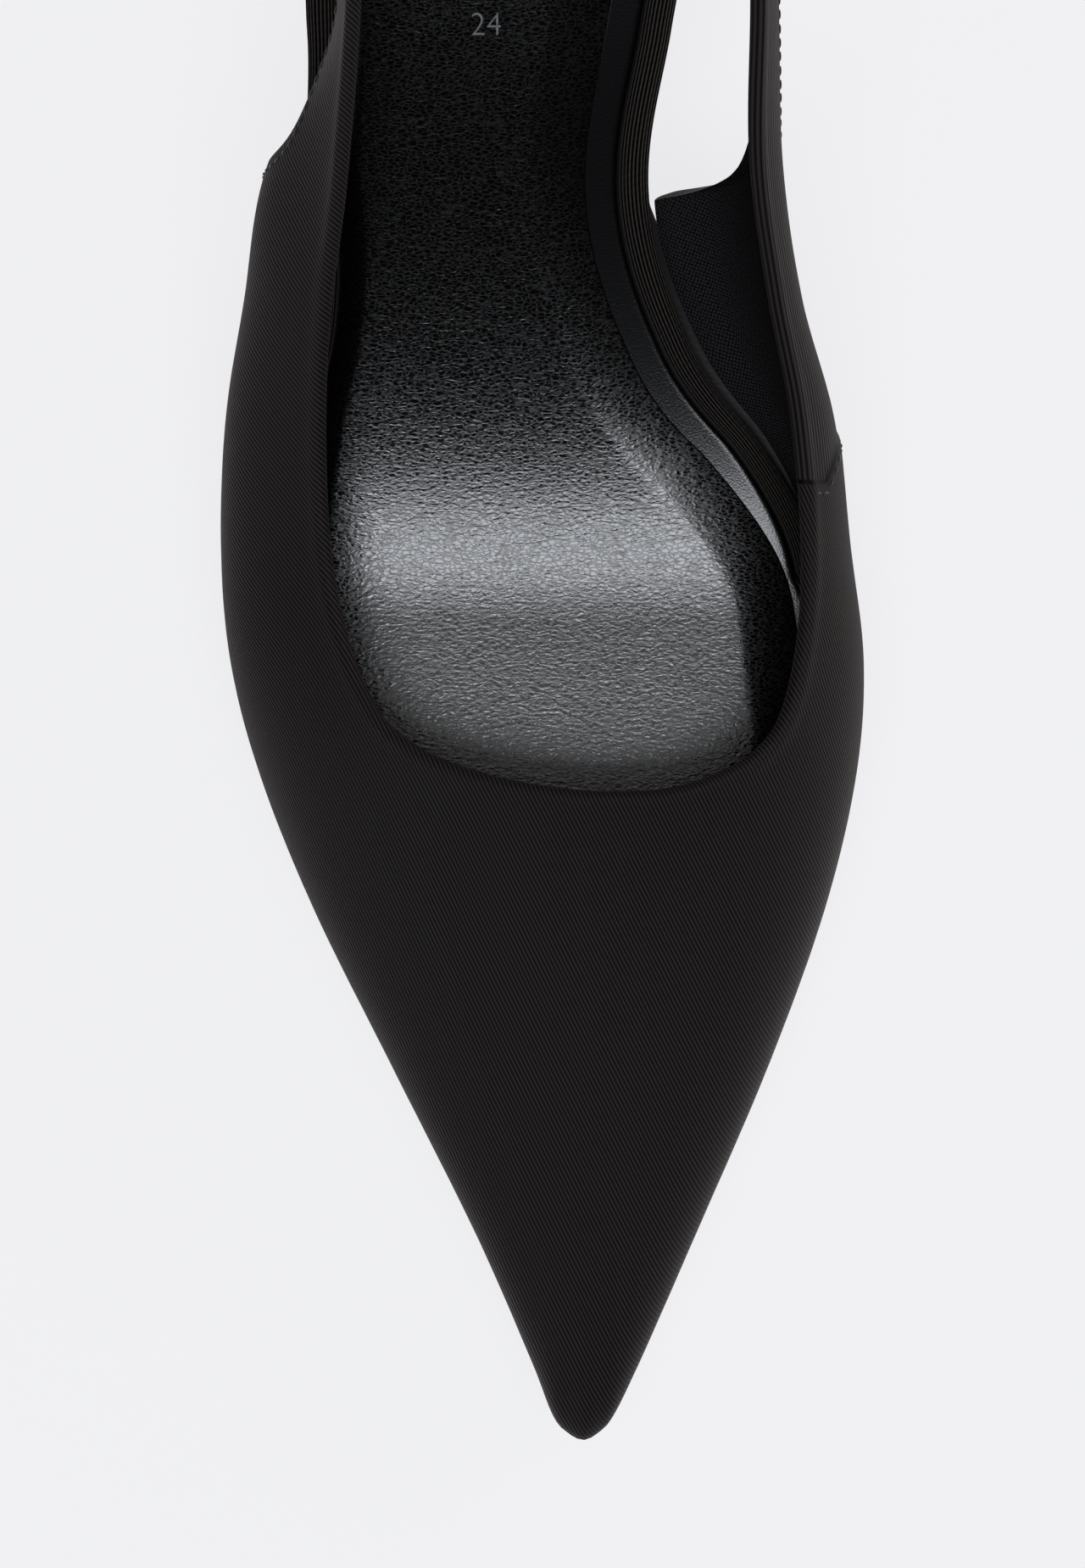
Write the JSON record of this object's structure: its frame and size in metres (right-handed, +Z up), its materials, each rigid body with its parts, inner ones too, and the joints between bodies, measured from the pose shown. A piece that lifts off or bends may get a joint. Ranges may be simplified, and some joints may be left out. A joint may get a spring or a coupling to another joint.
{
  "type": "slingback pump",
  "caption": "Right-foot slingback pump: sharply pointed ribbed-fabric upper running on as a sling strap, padded insole, thin outsole and slim covered heel.",
  "frame": {"origin": "centre of the bounding box's bottom face, on the ground plane", "axes": "+Y from the toe to the heel, +X towards the medial side of this right shoe, +Z up"},
  "size_m": [0.0766, 0.2452, 0.1062],
  "materials": {
    "faille": "matt ribbed weave",
    "ribbed_faille": "matt ribbed weave, ribs lengthwise",
    "heel_faille": "matt ribbed weave",
    "smooth_leather": "smooth, satin",
    "grained_leather": "fine pebble grain, satin",
    "sole_rubber": "matt",
    "top_piece_rubber": "matt"
  },
  "bodies": {
    "root": {"upper": "faille", "outsole": "sole_rubber", "insole_board": "smooth_leather", "insole_rim": "ribbed_faille", "sock": "grained_leather", "heel": "heel_faille", "top_piece": "top_piece_rubber"}
  },
  "joints": []
}
